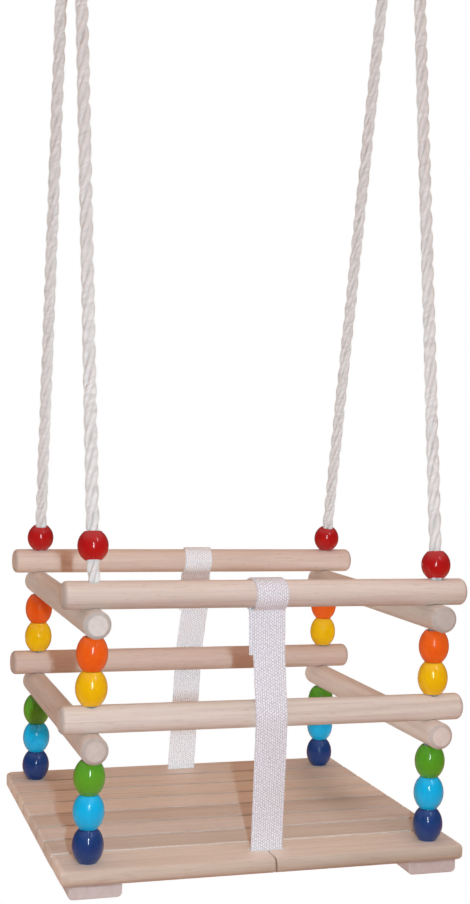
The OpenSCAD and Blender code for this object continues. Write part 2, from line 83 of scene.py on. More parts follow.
BRACKET_X, BOLT_Z, BOLT_R, BOLT_FLAT = 150.0, -46.0, 5.0, 8.5
PLATE_HALF_X, PLATE_HALF_Y, PLATE_T, CEILING_HOLE_Y, CEILING_HOLE_R = 22.0, 42.0, 4.0, 30.0, 3.25
EAR_IN, EAR_OUT, EAR_R, BUSHING_HALF, BUSHING_R = 11.0, 15.0, 18.0, 10.0, 21.0
FERRULE_TOP, FERRULE_L, FERRULE_WALL, LEG_Y = -91.0, 28.0, 2.2, 5.4
SLEEVE_BORE_R = ROPE_R + 0.12
FLOOR_Z = -1620.0
SIDE_NAMES = {-1: "left", 1: "right"}
RIGHT = np.array([1.0, 0, 0])

# The right rope's front leg, from its lower end to the top of its eye
ROPE_LEG = np.array([
    [143, -128, -1082], [143, -128, -1000], [143, -128, -920], [143, -128, -842],
    [144, -111, -742], [145, -94, -642], [146, -77, -542], [147, -60, -442],
    [148, -43, -342], [149, -26, -242], [150, -9, -142], [150, -5.4, -121],
    [150, -5.4, -90], [150, -8.5, -80], [150, -17, -58], [150, -20, -46],
    [150, -18.5, -38.4], [150, -14.1, -31.9], [150, -7.7, -27.5], [150, 0, -26],
], float)
LEAN = (ROPE_LEG[10] - ROPE_LEG[3]) / np.linalg.norm(ROPE_LEG[10] - ROPE_LEG[3])
rng = np.random.default_rng(7)

# How the colour of single boards and of the rear strap differs from the common one: partly the
# boards' own tone, partly painted light and shade. The rear slats, the rear strap and the upper
# left rail are painted paler, and the rear rails warmer and the lower one darker, for how the
# light falls on them
TONE_AND_PAINTED_LIGHT = {
    "rear_strap": (1.16, 1.19, 1.17),
    "upper_front_rail": (0.97, 0.94, 0.94), "lower_front_rail": (1.02, 1.03, 1.04),
    "upper_rear_rail": (1.06, 0.98, 0.95), "lower_rear_rail": (0.91, 0.79, 0.75),
    "upper_left_rail": (1.06, 1.14, 1.2), "upper_right_rail": (1.0, 1.03, 1.06),
    "lower_right_rail": (1.08, 1.06, 1.07), "lower_left_rail": (0.98, 0.98, 1.0),
    "left_batten": (0.86, 0.86, 0.92), "right_batten": (0.84, 0.82, 0.88),
    "slat_1": (1.0, 0.99, 0.98), "slat_2": (1.06, 1.05, 1.06), "slat_3": (1.0, 0.97, 0.95),
    "slat_4": (1.14, 1.12, 1.1), "slat_5": (1.14, 1.12, 1.08), "slat_6": (1.12, 1.08, 1.04),
    "rear_slat": (1.08, 1.04, 1.02),
}
# Painted light and shade on a rail: how much paler its upper side and darker its lower side is
PAINTED_TOP_LIGHT = {"upper_front_rail": 0.12}
# How much darker the flat discs at the ends of a rail are, and the rounded shoulders of them all,
# whose darkening is painted shade
DISC_TONE = {"upper_left_rail": 0.08, "lower_left_rail": 0.16, "upper_right_rail": 0.24,
             "lower_right_rail": 0.1}
SHOULDER_SHADE = 0.3
# Painted shadows on the seat, soft darker patches: middle x and y, half width along x and y, and
# how much darker
PAINTED_SHADOWS = [(115, 20, 28, 55, 0.3), (156, -85, 22, 40, 0.25), (126, 98, 22, 24, 0.3)]
# Where the front edge's painted shade towards the right starts, and over what distance it goes on
CHANGE_X, CHANGE_OVER = -60.0, 160.0


def linked(name, data):
    """A new object in the scene."""
    made = bpy.data.objects.new(name, data)
    bpy.context.scene.collection.objects.link(made)
    return made


# ---- camera, where the photographer's stood ----
def make_camera():
    """Eye, yaw, pitch and roll of the photograph. The focal length is in pixels of a picture
    904 high, and the shift puts the optical axis 48 pixels under its middle."""
    eye = Vector((-351.81, -1159.98, 339.37 + SEAT_Z)) * MM
    yaw, pitch, roll, focal, height, under = 0.30034, 0.05425, 0.02808, 1381.6, 904, 48
    data = bpy.data.cameras.new("camera")
    data.sensor_width = 36
    data.lens = focal / height * data.sensor_width
    data.shift_y = under / height
    data.clip_start, data.clip_end = 0.05, 60
    camera = linked("camera", data)
    camera.matrix_world = Matrix.Translation(eye) @ Matrix.Rotation(-yaw, 4, "Z") @ (
        Matrix.Rotation(math.pi / 2 - pitch, 4, "X") @ Matrix.Rotation(roll, 4, "Z"))
    bpy.context.scene.camera = camera


make_camera()


# ---- meshes and pieces ----
def skin(rings, closed=False):
    """Points and faces over rings of equal length, with quads from each ring to the next. An
    open skin gets a flat face on each end ring, and a closed one joins its last ring to its
    first."""
    rows, cols = rings.shape[:2]
    i, j = np.meshgrid(np.arange(rows if closed else rows - 1), np.arange(cols), indexing="ij")
    i2, j2 = (i + 1) % rows, (j + 1) % cols
    quads = np.stack([i * cols + j, i * cols + j2, i2 * cols + j2, i2 * cols + j], -1)
    faces = quads.reshape(-1, 4).tolist()
    if not closed:
        faces += [list(range(cols))[::-1], list(range((rows - 1) * cols, rows * cols))]
    return rings.reshape(-1, 3), faces


def joined(parts):
    """Several (points, faces) as one."""
    points, faces, start = [], [], 0
    for p, f in parts:
        points.append(p)
        faces += [[start + i for i in face] for face in f]
        start += len(p)
    return np.concatenate(points), faces


def moved(part, x, y, z):
    return part[0] + [x, y, z], part[1]


def swapped(part, order):
    """The same shape with its axes in another order."""
    return part[0][:, order], part[1]


def turned_to(part, origin, axis):
    """The same shape with its Z axis along axis, from origin."""
    axis = np.asarray(axis, float) / np.linalg.norm(axis)
    helper = RIGHT if abs(axis[0]) < 0.9 else np.array([0, 1.0, 0])
    u = np.cross(helper, axis)
    u /= np.linalg.norm(u)
    w = np.cross(axis, u)
    return moved((part[0] @ np.array([u, w, axis]), part[1]), *origin)


def shade(mesh, sharp):
    """Smooth faces, with edges of more than sharp degrees left crisp."""
    mesh.polygons.foreach_set("use_smooth", np.ones(len(mesh.polygons), bool))
    mesh.set_sharp_from_angle(angle=math.radians(sharp))


def edit(mesh, change):
    """Changes a mesh by a function of its bmesh."""
    work = bmesh.new()
    work.from_mesh(mesh)
    change(work)
    work.to_mesh(mesh)
    work.free()


def make_object(name, part, sharp=32):
    """A linked object with outward faces, from points in millimetres."""
    mesh = bpy.data.meshes.new(name)
    mesh.from_pydata((part[0] * MM).tolist(), [], part[1])
    edit(mesh, lambda work: bmesh.ops.recalc_face_normals(work, faces=work.faces))
    shade(mesh, sharp)
    return linked(name, mesh)


def spread(piece, name, places):
    """A UV map of this name from the place of every face corner."""
    layer = piece.data.uv_layers.new(name=name)
    layer.data.foreach_set("uv", places.astype(np.float32).ravel())


def cut(piece, part, sharp=32):
    """Takes the closed shape part out of the piece for good."""
    cutter = make_object("cutter", part)
    modifier = piece.modifiers.new("cut", "BOOLEAN")
    modifier.operation, modifier.solver, modifier.object = "DIFFERENCE", "EXACT", cutter
    depsgraph = bpy.context.evaluated_depsgraph_get()
    mesh = bpy.data.meshes.new_from_object(piece.evaluated_get(depsgraph))
    piece.modifiers.clear()
    piece.data = mesh
    bpy.data.objects.remove(cutter)
    shade(mesh, sharp)


def settle(piece, node, material, tone_and_shade=None):
    """Gives a piece its material, its board's place in the grain, its tint and its body, and hides
    the part of the node it stands for. Its last argument gives factors on the tint for points in
    millimetres, one or three a point, which paint light and shade on the piece besides its tone."""
    mesh = piece.data
    mesh.name = piece.name
    mesh.materials.clear()
    mesh.materials.append(material)
    mesh.polygons.foreach_set("material_index", np.zeros(len(mesh.polygons), np.int32))
    count = len(mesh.vertices)
    tint = np.tile(TONE_AND_PAINTED_LIGHT.get(node, (1.0, 1.0, 1.0)), (count, 1))
    if tone_and_shade:
        points = np.zeros(count * 3, np.float32)
        mesh.vertices.foreach_get("co", points)
        tint = tint * tone_and_shade(points.reshape(-1, 3) / MM)
    place = np.tile(rng.uniform(-9, 9, 3), (count, 1))
    for label, values in (("board", place), ("tint", tint)):
        layer = mesh.attributes.new(label, "FLOAT_VECTOR", "POINT")
        layer.data.foreach_set("vector", values.astype(np.float32).ravel())
    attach(piece, BODY_OF[node])
    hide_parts(node)


def build(node, form, part, material, cuts=(), sharp=32, tone_and_shade=None):
    """Makes the piece for a node from a shape, less the shapes in cuts."""
    piece = make_object(f"{node}_{form}", part, sharp)
    for other in cuts:
        cut(piece, other, sharp)
    settle(piece, node, material, tone_and_shade)


# ---- numbers and lines ----
def smooth(t):
    """The step 3t^2 - 2t^3 between 0 and 1."""
    t = np.clip(t, 0, 1)
    return t * t * (3 - 2 * t)


def between(z, low, high, over_low, over_high):
    """Rises from 0 at low to 1, over one distance, and falls to 0 at high, over the other."""
    return smooth((z - low) / over_low) * smooth((high - z) / over_high)


def wave(s, size, length, start=0):
    """The wave size sin(s / length + start)."""
    return size * np.sin(s / length + start)


def unit(v):
    return v / np.linalg.norm(v, axis=-1, keepdims=True)


def round_turn(sides):
    """Angles of the sides of a full turn."""
    return 2 * np.pi * np.arange(sides) / sides


def round_z(radius, a, height):
    """Points (radius cos a, radius sin a, height)."""
    return np.stack([radius * np.cos(a), radius * np.sin(a), height + 0 * a], -1)


def distances(line):
    """How far along a line each of its points lies."""
    return np.concatenate([[0], np.cumsum(np.linalg.norm(np.diff(line, axis=0), axis=1))])


def resampled(path, step):
    """Points along a line of straight stretches, about step apart, and their distances."""
    along = distances(path)
    s = np.linspace(0, along[-1], int(round(along[-1] / step)) + 1)
    return np.stack([np.interp(s, along, column) for column in path.T], -1), s


def softened(path, window):
    """A moving average over window points. Past its ends the line goes straight on."""
    half = window // 2
    k = np.arange(half, 0, -1)[:, None]
    before = path[0] - k * (path[1] - path[0])
    after = path[-1] + k[::-1] * (path[-1] - path[-2])
    long = np.concatenate([before, path, after])
    kernel = np.ones(window) / window
    return np.stack([np.convolve(column, kernel, "valid") for column in long.T], -1)


# ---- shapes ----
def turned(profile, sides=64, closed=False):
    """A shape turned round Z, from rows of (height, radius)."""
    height, radius = np.asarray(profile, float).T[:, :, None]
    return skin(round_z(radius, round_turn(sides), height), closed)


def rod(x, y, z0, z1, r):
    return moved(turned([(z0, r), (z1, r)], 48), x, y, 0)


def slab(x0, y0, x1, y1, z0, z1, corners, rims, steps=9, flat=0.4):
    """A plate with its own radius at each corner, counter-clockwise from the lower left, and
    with rounded rims, whose radii are for the left, front, right and rear side and go smoothly
    from one to the next round a corner. Both may be one number for all four. At angle a of a
    rim of radius r the outline lies r (1 - cos a) further in, and r (1 - sin a) inside the
    plate's face. The flat part of a face starts a little further in than its rim ends."""
    corners, rims = np.broadcast_to(corners, 4), np.broadcast_to(rims, 4)
    turn = np.linspace(0, 1, steps)
    points, normals, radii = [], [], []
    for k, (x, y, sx, sy) in enumerate((
            (x0, y0, 1, 1), (x1, y0, -1, 1), (x1, y1, -1, -1), (x0, y1, 1, -1))):
        a = np.radians(180 + 90 * (k + turn))
        normals.append(np.stack([np.cos(a), np.sin(a)], -1))
        points.append(np.array([x + sx * corners[k], y + sy * corners[k]])
                      + corners[k] * normals[k])
        radii.append(rims[k] + (rims[(k + 1) % 4] - rims[k]) * smooth(turn))
    points, normals, r = (np.concatenate(rows) for rows in (points, normals, radii))

    def half(face, inward):
        rows = [(r + flat, face + 0 * r)] + [
            (r * (1 - np.cos(a)), face + inward * r * (1 - np.sin(a)))
            for a in np.linspace(np.pi / 2, 0, 7)]
        return [np.column_stack([points - normals * inset[:, None], z]) for inset, z in rows]

    return skin(np.array(half(z0, 1) + half(z1, -1)[::-1]))


def dowel(length, waves):
    """A round rail along Z. Its radius is the end profile's, an arc from the flat disc out to
    the full radius, times 0.996 plus slow waves that run round and along it."""
    crease = math.radians(28)
    a = np.linspace(crease, np.pi / 2, 9)
    end_s = RAIL_ROUND_L * (1 - np.cos(a) / math.cos(crease))
    end_r = RAIL_DISC_R + (RAIL_R - RAIL_DISC_R) * (np.sin(a) - math.sin(crease)) / (
        1 - math.sin(crease))
    middle = np.linspace(RAIL_ROUND_L, length - RAIL_ROUND_L, int(length / 4))[1:-1]
    s = np.concatenate([[0], end_s, middle, (length - end_s)[::-1], [length]]) - length / 2
    flat = [RAIL_DISC_R - 0.4]
    r = np.concatenate([flat, end_r, np.full(len(middle), RAIL_R), end_r[::-1], flat])
    s, r, turn = s[:, None], r[:, None], round_turn(64)
    uneven = sum(size * np.sin(lobes * turn + s / span + start)
                 for size, lobes, span, start in waves)
    return skin(round_z(r * (0.996 + uneven), turn, s))


# ---- ropes: three strands laid round the route ----
STRAND_R, STRAND_OUT, STRAND_SIDES, LAY, FIBRE_TURN = 2.4, 2.6, 12, 48.0, 23.0
# The free rope is thicker by this factor, and waves of a size and length move its middle, change
# its lay and change its strands' thickness
SWELL, SWAYS, LAY_WAVE, THICK_WAVE = 0.07, ((0.12, 19), (0.1, 43)), (0.025, 31), (0.035, 7.3)
# How much of its thickness a strand keeps at its sealed ends
SEALED = 0.82


def make_rope(side, name):
    """Strand number k goes round the route at a distance of STRAND_OUT, once every LAY: its
    middle is C + out (cos f u + sin f w) with f = 2 pi (s / LAY + k / 3), where u and w are
    square to the route. Its own section is a circle in the plane square to the strand. Between
    the beads and the ferrule, free goes to 1, and slow waves make the rope wider and uneven."""
    legs = [ROPE_LEG * [side, 1, 1], (ROPE_LEG * [side, -1, 1])[-2::-1]]
    line, _ = resampled(np.concatenate(legs), 1.6)
    line = softened(softened(line, 5), 5)
    s = distances(line)
    ahead = unit(np.gradient(line, axis=0))
    u = unit(np.cross(ahead, RIGHT))
    w = np.cross(ahead, u)
    free = between(line[:, 2], STACK_Z + 4, FERRULE_TOP - FERRULE_L - 31, 14, 40)
    swell = (1 + SWELL * free)[:, None]
    sway = wave(s, *SWAYS[0], side) + wave(s, *SWAYS[1])
    hang = line + (free * sway)[:, None] * u
    a = round_turn(STRAND_SIDES)[:, None]
    strands, uv = [], []
    for k in range(3):
        turn = 2 * np.pi * (s / LAY + k / 3 + free * wave(s, *LAY_WAVE, 2 * k))[:, None]
        outward = np.cos(turn) * u + np.sin(turn) * w
        middle = hang + STRAND_OUT * swell * outward
        side_way = unit(np.cross(unit(np.gradient(middle, axis=0)), outward))
        thick = STRAND_R * swell * (1 + free * wave(s, *THICK_WAVE, 3 * k))[:, None]
        rings = middle[:, None] + thick[:, None] * (
            np.cos(a) * outward[:, None] + np.sin(a) * side_way[:, None])
        for end in (0, -1):
            rings[end] = middle[end] + (rings[end] - middle[end]) * SEALED
        strands.append(skin(rings))
        i, j = np.divmod(np.arange((len(line) - 1) * STRAND_SIDES), STRAND_SIDES)
        around = k + np.stack([j, j + 1, j + 1, j], -1) / STRAND_SIDES
        length = distances(middle)[np.stack([i, i, i + 1, i + 1], -1)] * MM
        uv += [np.stack([around, length], -1).reshape(-1, 2), np.zeros((2 * STRAND_SIDES, 2))]
    made = make_object(name, joined(strands), 50)
    spread(made, "strand", np.concatenate(uv))
    route = line[::6] * MM
    route[0], route[-1] = line[0] * MM, line[-1] * MM
    return made, route, float(s[-1]) * MM


# ---- straps ----
# How far the loop lies to the right of the strap's line, at distances from its inner crease: it
# climbs the rail askew, so that its under layer shows beside the outer one
SKEW_AT = [0, 16, 36, 55, 69, 80, 110, 150]
SKEW = [-2.2, -2.4, -1.8, 1.4, 0.9, 1.0, 0.7, 0]


def arc(centre, r, start, end, steps):
    a = np.radians(np.linspace(start, end, steps + 1))
    return np.array(centre) + r * np.stack([np.cos(a), np.sin(a)], -1)


def strap_line(side, slot_y, loop_x):
    """The middle of the webbing at one end, from its sewn end up to the upper rail, round it,
    past a crease, down the sewn part, past the lower rail and into the slot: (x, y, z), and the
    distance along it."""
    slot = side * slot_y
    loop, low = np.array([ROPE_Y, UPPER_LONG_Z]), np.array([ROPE_Y, LOWER_LONG_Z])
    mouth = np.array([slot, SEAT_Z + 0.5])
    away, reach = math.radians(STRAP_LEAVE), WRAP_R + CREASE_R
    outer = loop + reach * np.array([math.cos(away), -math.sin(away)])
    sewn = outer - [CREASE_R, STRAP_SEWN]
    inner_x = sewn[0] - STRAP_T - 0.05 - CREASE_R
    inner = np.array([inner_x, loop[1] - math.sqrt(reach**2 - (inner_x - loop[0]) ** 2)])
    inner_a = math.degrees(math.atan2(loop[1] - inner[1], loop[0] - inner[0]))

    def touch(point, way):
        """The angle at which a straight line from the point touches the lower rail's wrap."""
        to = point - low
        return math.degrees(math.atan2(to[1], to[0]) + way * math.acos(WRAP_R / np.linalg.norm(to)))

    bend = [slot - STRAP_BEND_R, STRAP_RUN_Z + STRAP_BEND_R]
    flat = np.concatenate([
        [[inner_x + CREASE_R, sewn[1]]], arc(inner, CREASE_R, 0, inner_a, 8),
        arc(loop, WRAP_R, inner_a + 180, -STRAP_LEAVE, 60)[1:],
        arc(outer, CREASE_R, 180 - STRAP_LEAVE, 180, 8)[1:], [sewn],
        arc(low, WRAP_R, touch(sewn, -1), min(0, touch(mouth, 1)), 6), [mouth],
        arc(bend, STRAP_BEND_R, 0, -90, 10)])
    line, s = resampled(flat, 0.8)
    up = np.clip((line[:, 1] - SEAT_Z) / (UPPER_LONG_Z - SEAT_Z), 0, 1)
    skew = np.interp(s - (inner[1] - sewn[1]), SKEW_AT, SKEW)
    x = SLOT_X + (loop_x - SLOT_X) * up + softened(skew[:, None], 13)[:, 0]
    return np.column_stack([x, side * line[:, 0], line[:, 1]]), s


def make_strap(name, line, s, slack):
    """A band whose width runs left to right. Its section has round edges with a small ripple
    every 3.2 mm, and its middle lies slack times slow waves off the path, so that the free
    stretches aren't dead flat."""
    flat, half, steps = (STRAP_W - STRAP_T) / 2, STRAP_T / 2, 15
    across = np.linspace(-flat, flat, steps)
    a = np.radians(np.linspace(-90, 90, 7))[1:-1]
    edge = np.stack([flat + half * np.cos(a), half * np.sin(a)], -1)
    x, depth = np.concatenate([
        np.stack([across, np.full(steps, -half)], -1), edge,
        np.stack([across[::-1], np.full(steps, half)], -1), -edge]).T
    w, s = x / STRAP_W, s[:, None]
    bow = slack[:, None] * (
        wave(s, 0.5, 17) + wave(s, 0.35, 9, 1) * w * 2 + 0.45 * (1 - 4 * w * w))
    ripple = 0.12 * np.sin(2 * np.pi * s / 3.2) * (np.abs(w) > 0.47)
    normal = unit(np.cross(np.gradient(line, axis=0), RIGHT))
    rings = (line[:, None] + (x + ripple * np.sign(w))[..., None] * RIGHT
             + (depth + bow)[..., None] * normal[:, None])
    made = make_object(name, skin(rings), 60)
    corner = np.zeros(len(made.data.loops), np.int32)
    made.data.loops.foreach_get("vertex_index", corner)
    place = np.stack(np.broadcast_arrays(x, s), -1).reshape(-1, 2) * MM
    spread(made, "weave", place[corner])
    return made


# ---- materials ----
def linear(r, g, b):
    """A screen colour out of 255 as scene-linear light, with alpha."""
    c = np.array([r, g, b]) / 255
    c = np.where(c <= 0.04045, c / 12.92, ((c + 0.055) / 1.055) ** 2.4)
    return (*c.tolist(), 1.0)


def add(tree, kind, values=None, **settings):
    """A new shader node. values go to its inputs: a socket is linked, anything else is a
    constant."""
    made = tree.nodes.new("ShaderNode" + kind)
    for key, value in settings.items():
        setattr(made, key, value)
    for key, value in (values or {}).items():
        if isinstance(value, bpy.types.NodeSocket):
            tree.links.new(value, made.inputs[key])
        else:
            made.inputs[key].default_value = value
    return made


def connect(tree, sockets, values):
    """Links every value to the socket of its name."""
    for key, value in values.items():
        tree.links.new(value, sockets[key])


def sums(tree, operation, a, b=0.0, c=0.0):
    return add(tree, "Math", {0: a, 1: b, 2: c}, operation=operation).outputs[0]


def times(tree, a, b):
    return sums(tree, "MULTIPLY", a, b)


def ranged(tree, value, low, high, to_low=0.0, to_high=1.0):
    return add(tree, "MapRange", {
        "Value": value, "From Min": low, "From Max": high, "To Min": to_low, "To Max": to_high,
    }, interpolation_type="SMOOTHSTEP").outputs["Result"]


def mixed(tree, factor, a, b, blend="MIX"):
    """Two colours mixed. Among the node's sockets 6, 7 and output 2 are those for colours."""
    return add(tree, "Mix", {0: factor, 6: a, 7: b}, data_type="RGBA",
               blend_type=blend).outputs[2]


def noise(tree, vector, stretch, detail=2.0, roughness=0.5, distortion=0.0):
    """Noise whose grain is 1 / stretch metres along each axis."""
    scaled = add(tree, "VectorMath", {0: vector, 1: stretch}, operation="MULTIPLY")
    return add(tree, "TexNoise", {
        "Vector": scaled.outputs[0], "Scale": 1.0, "Detail": detail, "Roughness": roughness,
        "Distortion": distortion}).outputs["Fac"]


def bumped(tree, height, strength, distance):
    return add(tree, "Bump", {
        "Height": height, "Strength": strength, "Distance": distance}).outputs[0]


def tinted(tree, colour):
    """A colour times the piece's tint, which holds its tone and the light and shade painted on it."""
    tint = add(tree, "Attribute", attribute_name="tint").outputs["Vector"]
    return mixed(tree, 1.0, colour, tint, "MULTIPLY")


def new_group(name, inputs, outputs):
    """An empty shader node group: the tree and its two ends. Each input has its default, and
    one without a default is a vector. Of the outputs only Color is a colour."""
    tree = bpy.data.node_groups.new(name, "ShaderNodeTree")
    kinds = {type(None): "NodeSocketVector", tuple: "NodeSocketColor", float: "NodeSocketFloat"}
    for label, value in inputs.items():
        made = tree.interface.new_socket(label, in_out="INPUT", socket_type=kinds[type(value)])
        if value is not None:
            made.default_value = value
    for label in outputs:
        kind = kinds[tuple if label == "Color" else float]
        tree.interface.new_socket(label, in_out="OUTPUT", socket_type=kind)
    return tree, tree.nodes.new("NodeGroupInput").outputs, tree.nodes.new("NodeGroupOutput").inputs


# A colour that every material replaces by its own
GREY = (0.5, 0.5, 0.5, 1)


def grain_group():
    """Wood with its fibres along X of the vector: slow tone, year lines, fine fibre, short dark
    flecks and a few long streaks."""
    tree, given, out = new_group(
        "wood_grain",
        {"Vector": None, "Pale": GREY, "Deep": GREY, "Fleck": GREY, "Flecks": 0.5, "Streaks": 0.5},
        ("Color", "Roughness", "Height"))
    vector = given["Vector"]
    tone = noise(tree, vector, (3.0, 26.0, 26.0), 3.0)
    year = noise(tree, vector, (2.4, 190.0, 190.0), 3.0, 0.55, 0.4)
    fibre = noise(tree, vector, (26.0, 1500.0, 1500.0), 2.0)
    dash = noise(tree, vector, (95.0, 780.0, 780.0), 1.0)
    bands = noise(tree, vector, (1.6, 95.0, 95.0), 2.0, 0.5, 0.6)
    base = sums(tree, "ADD", times(tree, ranged(tree, tone, 0.3, 0.7), 0.5),
                times(tree, ranged(tree, year, 0.3, 0.72), 0.5))
    colour = mixed(tree, base, given["Pale"], given["Deep"])
    streak = times(tree, ranged(tree, bands, 0.6, 0.74), given["Streaks"])
    colour = mixed(tree, streak, colour, given["Fleck"])
    fleck = times(tree, ranged(tree, dash, 0.63, 0.72), given["Flecks"])
    colour = mixed(tree, fleck, colour, given["Fleck"])
    soft = ranged(tree, fibre, 0.25, 0.75, 0.93, 1.05)
    shade_by = add(tree, "CombineColor", {"Red": soft, "Green": soft, "Blue": soft})
    height = sums(tree, "ADD", times(tree, fibre, 0.6), times(tree, year, 0.9))
    connect(tree, out, {
        "Color": mixed(tree, 1.0, colour, shade_by.outputs[0], "MULTIPLY"),
        "Roughness": ranged(tree, year, 0.2, 0.8, 0.5, 0.64),
        "Height": sums(tree, "SUBTRACT", height, times(tree, fleck, 0.35))})
    return tree


def weave_group():
    """Webbing on its own UV map in metres: columns of raised picks, each column half a pick further
    on than the last. A pick's height is sin(pi x) sin(pi y) inside its cell. Thread follows the
    height, so the gaps between picks take the darker colour: the weave's pattern with painted shade
    in its gaps."""
    tree, given, out = new_group(
        "weave", {"Vector": None, "Column": 0.0018, "Pick": 0.0023}, ("Thread", "Height"))
    parts = add(tree, "SeparateXYZ", {"Vector": given["Vector"]}).outputs
    wander = noise(tree, given["Vector"], (300.0, 300.0, 300.0), 2.0)
    sway = sums(tree, "MULTIPLY_ADD", wander, 0.9, -0.45)
    across = sums(tree, "ADD", sums(tree, "DIVIDE", parts["X"], given["Column"]), sway)
    along = sums(tree, "DIVIDE", parts["Y"], given["Pick"])
    shifted = sums(tree, "MULTIPLY_ADD", sums(tree, "FLOOR", across), 0.5, along)
    high = times(tree, *(
        sums(tree, "SINE", times(tree, sums(tree, "FRACT", place), math.pi))
        for place in (across, shifted)))
    uneven = noise(tree, given["Vector"], (700.0, 560.0, 700.0), 1.0)
    raised = times(tree, sums(tree, "POWER", high, 0.6), ranged(tree, uneven, 0.3, 0.7, 0.45, 1.0))
    connect(tree, out, {"Thread": ranged(tree, raised, 0.05, 0.75), "Height": raised})
    return tree


def fibre_group():
    """Fibres on a strand: fine lines that turn once round it every Turn metres, broken up by
    noise that is stretched the same way. UV X is turns round the strand, UV Y metres along."""
    tree, given, out = new_group(
        "strand_fibres", {"Vector": None, "Turn": FIBRE_TURN * MM, "Lines": 10.0},
        ("Thread", "Height"))
    parts = add(tree, "SeparateXYZ", {"Vector": given["Vector"]}).outputs
    round_it = sums(tree, "SUBTRACT", parts["X"], sums(tree, "DIVIDE", parts["Y"], given["Turn"]))
    place = add(tree, "CombineXYZ", {
        "X": times(tree, round_it, given["Lines"]), "Y": times(tree, parts["Y"], 170.0)})
    tangle = noise(tree, place.outputs[0], (1.0, 1.0, 1.0), 3.0, 0.6)
    wound = sums(tree, "MULTIPLY_ADD", tangle, 0.08, round_it)
    line = sums(tree, "SINE", times(tree, wound, 2 * math.pi * 8))
    high = sums(tree, "ADD", times(tree, line, 0.16), tangle)
    connect(tree, out, {"Thread": ranged(tree, high, 0.2, 0.56), "Height": high})
    return tree


def speckle_group():
    """Slow clouds and fine specks over Object coordinates, for paint, metal and plastic."""
    tree, given, out = new_group(
        "speckle", {"Vector": None, "Base": GREY, "Other": GREY, "Cloud": 60.0, "Speck": 900.0},
        ("Color", "Mask", "Height"))
    cloud, speck = (
        add(tree, "TexNoise", {
            "Vector": given["Vector"], "Scale": given[scale], "Detail": detail}).outputs["Fac"]
        for scale, detail in (("Cloud", 3.0), ("Speck", 2.0)))
    both = sums(tree, "MULTIPLY_ADD", speck, 0.35, times(tree, cloud, 0.65))
    mask = ranged(tree, both, 0.36, 0.64)
    connect(tree, out, {
        "Color": mixed(tree, mask, given["Base"], given["Other"]), "Mask": mask,
        "Height": sums(tree, "MULTIPLY_ADD", speck, 0.3, cloud)})
    return tree


GRAIN, WEAVE, FIBRES, SPECKLE = grain_group(), weave_group(), fibre_group(), speckle_group()


def new_material(name, **constants):
    """A material with one Principled shader, whose constants are set on its own sockets."""
    made = bpy.data.materials.new(name)
    made.use_nodes = True
    tree = made.node_tree
    tree.nodes.clear()
    shader = add(tree, "BsdfPrincipled")
    for key, value in constants.items():
        shader.inputs[key.replace("_", " ")].default_value = value
    add(tree, "OutputMaterial", {0: shader.outputs[0]})
    return made, tree, shader.inputs


WOOD_COLOURS = {"Pale": linear(233, 219, 204), "Deep": linear(217, 198, 181),
                "Fleck": linear(178, 142, 116)}


def wood(name, along_y):
    made, tree, shader = new_material(
        name, Specular_IOR_Level=0.35, Coat_Weight=0.06, Coat_Roughness=0.35)
    at = add(tree, "TexCoord").outputs
    board = add(tree, "Attribute", attribute_name="board").outputs["Vector"]
    place = add(tree, "VectorMath", {0: at["Object"], 1: board}, operation="ADD")
    along = add(tree, "Mapping", {
        "Vector": place.outputs[0], "Rotation": (0, 0, -math.pi / 2 if along_y else 0)})
    facing = add(tree, "SeparateXYZ", {"Vector": at["Normal"]})
    end_grain = sums(tree, "ABSOLUTE", facing.outputs["Y" if along_y else "X"])
    side_grain = ranged(tree, end_grain, 0.45, 0.85, 1.0, 0.12)
    grain = add(tree, "Group", {
        "Vector": along.outputs[0], **WOOD_COLOURS, "Flecks": times(tree, side_grain, 0.24),
        "Streaks": times(tree, side_grain, 0.28)}, node_tree=GRAIN).outputs
    connect(tree, shader, {
        "Base Color": tinted(tree, grain["Color"]), "Roughness": grain["Roughness"],
        "Normal": bumped(tree, grain["Height"], 0.35, 0.0004)})
    return made


def textile(name, group, uv, dark, light, roughness, strength, distance):
    made, tree, shader = new_material(
        name, Sheen_Weight=0.15, Sheen_Roughness=0.5, Roughness=roughness,
        Specular_IOR_Level=0.3)
    place = add(tree, "UVMap", uv_map=uv).outputs["UV"]
    cloth = add(tree, "Group", {"Vector": place}, node_tree=group).outputs
    connect(tree, shader, {
        "Base Color": tinted(tree, mixed(tree, cloth["Thread"], dark, light)),
        "Normal": bumped(tree, cloth["Height"], strength, distance)})
    return made


def speckled(name, base, other, scales, rough, strength, distance, **constants):
    """Two like colours in clouds and specks of these scales, whose roughness differs by rough's
    two values."""
    made, tree, shader = new_material(name, **constants)
    place = add(tree, "TexCoord").outputs["Object"]
    skin_of = add(tree, "Group", {
        "Vector": place, "Base": linear(*base), "Other": linear(*other), "Cloud": scales[0],
        "Speck": scales[1]}, node_tree=SPECKLE).outputs
    connect(tree, shader, {
        "Base Color": skin_of["Color"], "Roughness": ranged(tree, skin_of["Mask"], 0, 1, *rough),
        "Normal": bumped(tree, skin_of["Height"], strength, distance)})
    return made


def lacquer(name, base, other):
    return speckled(name, base, other, (40.0, 260.0), (0.3, 0.4), 0.05, 0.0006, Coat_Weight=1.0,
                    Coat_Roughness=0.03, Specular_IOR_Level=0.1)


def metal(name, base, other, metallic, rough):
    return speckled(name, base, other, (70.0, 1400.0), (rough, rough + 0.15), 0.15, 0.0003,
                    Metallic=metallic)


